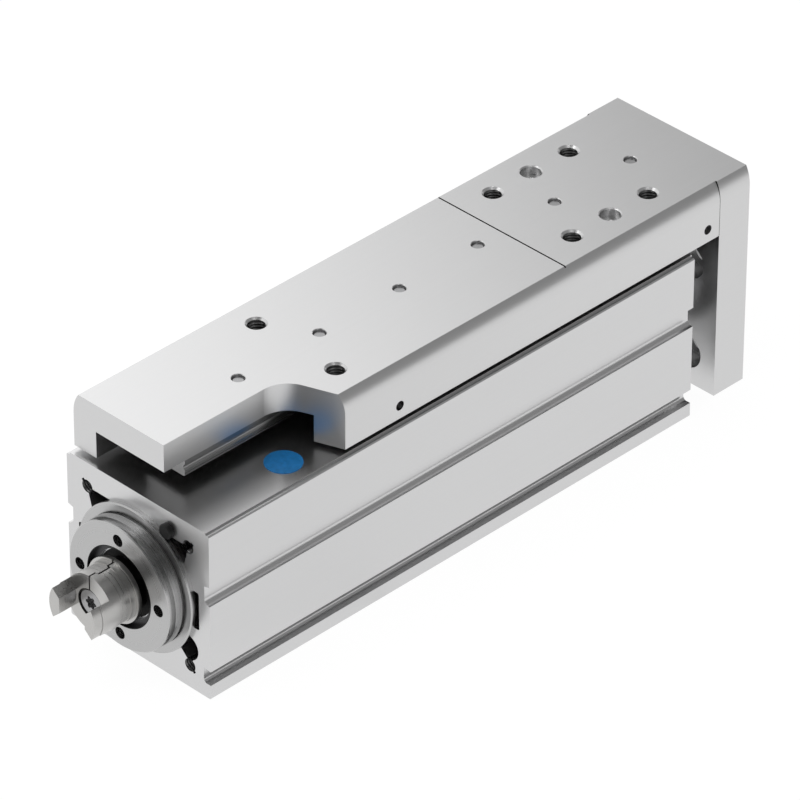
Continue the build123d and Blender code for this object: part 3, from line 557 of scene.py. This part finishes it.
back = Vector((
    sin(camera_azimuth) * cos(camera_elevation),
    -cos(camera_azimuth) * cos(camera_elevation),
    sin(camera_elevation),
))
right = Vector((cos(camera_azimuth), sin(camera_azimuth), 0.0))
up = back.cross(right)
camera_x = cos(camera_roll) * right + sin(camera_roll) * up
camera_y = cos(camera_roll) * up - sin(camera_roll) * right
camera_place = aim + aim_shift[0] * camera_x + aim_shift[1] * camera_y + camera_distance * back


def placed(place, axes):
    """The matrix of an object at a place, with these three axes."""
    return Matrix.Translation(place) @ Matrix(axes).transposed().to_4x4()


camera_data = bpy.data.cameras.new("camera")
camera_data.sensor_width = 36.0
camera_data.lens = 311.15
camera_data.clip_end = 50.0
camera = bpy.data.objects.new("camera", camera_data)
scene.collection.objects.link(camera)
camera.matrix_world = placed(camera_place, (camera_x, camera_y, back))
scene.camera = camera
print("camera at", [round(v, 4) for v in camera_place])

# %% [markdown]
# ## Light, floor and background
# Bright metal shows its surroundings, so the surroundings are the light. The photograph's
# background is pure white, but a world that lit the part with pure white would wash it out. So
# the world is white where a ray sees it directly or in a reflection, and an even grey light to
# all else.


# %% World
def seen_directly(tree):
    """1 for rays from the camera, for reflections and for rays that pass through, else 0."""
    path = tree.nodes.new("ShaderNodeLightPath")
    either = calculate(
        tree, "MAXIMUM", path.outputs["Is Camera Ray"], path.outputs["Is Glossy Ray"]
    )
    return calculate(tree, "MAXIMUM", either, path.outputs["Is Transmission Ray"])


def make_world(level):
    """An even grey light that is white where it is seen directly."""
    world = bpy.data.worlds.new("studio")
    world.use_nodes = True
    tree = world.node_tree
    background = tree.nodes["Background"]
    background.inputs["Strength"].default_value = 1.0
    color = mix_colors(tree, seen_directly(tree), (*even(level), 1.0), (*even(1.0), 1.0))
    tree.links.new(color, background.inputs["Color"])
    return world


world_level = 0.62
scene.world = make_world(world_level)
print("world light:", world_level)

# %% [markdown]
# One weak lamp, high above the motor end, adds a soft direction to that even light. It is
# large, because a small lamp would leave hard spots on the metal.


# %% Lamp
def softbox(name, place, target, width, height, power):
    """A rectangular lamp at a place, turned towards a target."""
    lamp = bpy.data.lights.new(name, "AREA")
    lamp.shape = "RECTANGLE"
    lamp.size = width
    lamp.size_y = height
    lamp.energy = power
    holder = bpy.data.objects.new(name, lamp)
    scene.collection.objects.link(holder)
    place = Vector(place)
    holder.location = place
    holder.rotation_euler = (Vector(target) - place).to_track_quat("-Z", "Y").to_euler()
    print(name, "gives", power, "W")


softbox("top_lamp", (-0.35, 0.1, 0.95), (0.0, 0.0, 0.05), width=0.7, height=0.7, power=3.0)

# %% [markdown]
# A photographer shapes the reflections on metal with cards. A card here is a flat rectangle
# that glows. Its light may fall off along its length, since a reflection that fades makes a flat
# face look lit from one side.

# %% Surfaces for cards
BRIGHT_STATION = -0.10
DIM_STATION = 0.14


def square_mesh(name, half_width, half_height):
    """A flat rectangle about the origin, facing +Z."""
    mesh = bpy.data.meshes.new(name)
    corners = [(-half_width, -half_height, 0.0), (half_width, -half_height, 0.0)]
    corners += [(half_width, half_height, 0.0), (-half_width, half_height, 0.0)]
    mesh.from_pydata(corners, [], [(0, 1, 2, 3)])
    return mesh


def glow(name, dim, bright):
    """Light that falls evenly from bright to dim along the object's own X."""
    material = bpy.data.materials.new(name)
    material.use_nodes = True
    tree = material.node_tree
    tree.nodes.remove(tree.nodes["Principled BSDF"])
    lamp = tree.nodes.new("ShaderNodeEmission")
    along = split_coordinates(tree)["X"]
    strength = spread_range(tree, along, BRIGHT_STATION, DIM_STATION, bright, dim)
    tree.links.new(strength, lamp.inputs["Strength"])
    tree.links.new(lamp.outputs[0], tree.nodes["Material Output"].inputs["Surface"])
    return material


# %% [markdown]
# Three cards stand round the part, seen in reflections alone. A large panel goes from bright to
# dim, and its reflection makes the slide's top fade towards the yoke. A dark card above the
# right side gives round pieces their dark streak. A second one, above the front, is mirrored by
# the housing's top into the walls of the notch. Each stands where a face of a given direction
# mirrors the camera's view, which is worked out and not tried out.


# %% Cards that only reflections show
def make_card(name, normal, place, half_width, half_height, distance, levels):
    """A card where a face with this normal mirrors the camera's view, seen only in reflections.

    The mirrored view is 2 (n . v) n - v, with n the normal and v the way to the camera. The
    levels are the dim and the bright one.
    """
    normal = Vector(normal).normalized()
    mirrored = 2.0 * normal.dot(back) * normal - back
    along = Vector((1.0, 0.0, 0.0))
    along = (along - along.dot(mirrored) * mirrored).normalized()
    card = bpy.data.objects.new(name, square_mesh(name, half_width, half_height))
    scene.collection.objects.link(card)
    facing = -mirrored
    card_place = Vector(place) + distance * mirrored
    card.matrix_world = placed(card_place, (along, facing.cross(along), facing))
    card.data.materials.append(glow(name + "_glow", *levels))
    card.visible_camera = False
    card.visible_diffuse = False
    card.visible_shadow = False
    print(name, "at", [round(v, 3) for v in card_place])


dark_tilt = radians(44.0)
notch_place = (motor_end + 30 * MM, -14 * MM, housing_high.z)
make_card(
    "panel", (0.0, 0.0, 1.0), (0.0, 0.0, slide_top),
    half_width=0.30, half_height=0.22, distance=0.45, levels=(0.44, 1.48),
)
make_card(
    "dark_card", (0.0, -sin(dark_tilt), cos(dark_tilt)), (0.0, 0.0, axis_z),
    half_width=0.40, half_height=0.42, distance=0.46, levels=(0.32, 0.32),
)
make_card(
    "front_card", (-0.66, -0.46, 0.59), notch_place,
    half_width=0.32, half_height=0.40, distance=0.50, levels=(0.10, 0.10),
)

# %% [markdown]
# The part stands on a floor that is as white as the background and yet keeps a little of the
# part's shadow, so that the part doesn't seem to float. A plain white floor can't do both. So
# most of what the camera sees of it is its own white light, and a small share is a matt surface
# that takes the shadow. It lies a little below the base and is clear from below, so that the
# underside can be looked at too.

# %% Floor
FLOOR_WHITE = 1.04
FLOOR_GREY = 0.85
FLOOR_ROUGHNESS = 0.8
FLOOR_SPECULAR = 0.1


def mix_shaders(tree, share, first, second):
    """The first shader where the share is 0, the second where it is 1."""
    node = tree.nodes.new("ShaderNodeMixShader")
    tree.links.new(share, node.inputs["Fac"])
    tree.links.new(first, node.inputs[1])
    tree.links.new(second, node.inputs[2])
    return node.outputs[0]


def make_floor(half_size, shadow_share, drop):
    """A floor just below the base: white where it is seen directly, with a share of its shadow.

    From below it lets the view through.
    """
    mesh = square_mesh("floor", half_size, half_size)
    floor = bpy.data.objects.new("floor", mesh)
    scene.collection.objects.link(floor)
    floor.location.z = -drop
    material, tree, shader = start_material("floor", even(FLOOR_GREY), 0.0, FLOOR_ROUGHNESS)
    shader.inputs["Specular IOR Level"].default_value = FLOOR_SPECULAR
    white = tree.nodes.new("ShaderNodeEmission")
    white.inputs["Strength"].default_value = FLOOR_WHITE
    white_share = calculate(tree, "MULTIPLY", seen_directly(tree), 1.0 - shadow_share)
    from_above = mix_shaders(tree, white_share, shader.outputs[0], white.outputs[0])
    side = tree.nodes.new("ShaderNodeNewGeometry")
    clear = tree.nodes.new("ShaderNodeBsdfTransparent")
    both = mix_shaders(tree, side.outputs["Backfacing"], from_above, clear.outputs[0])
    tree.links.new(both, tree.nodes["Material Output"].inputs["Surface"])
    mesh.materials.append(material)
    print("floor at z =", -drop)


make_floor(half_size=4.0, shadow_share=0.08, drop=0.3 * MM)
scene.view_settings.view_transform = "Standard"
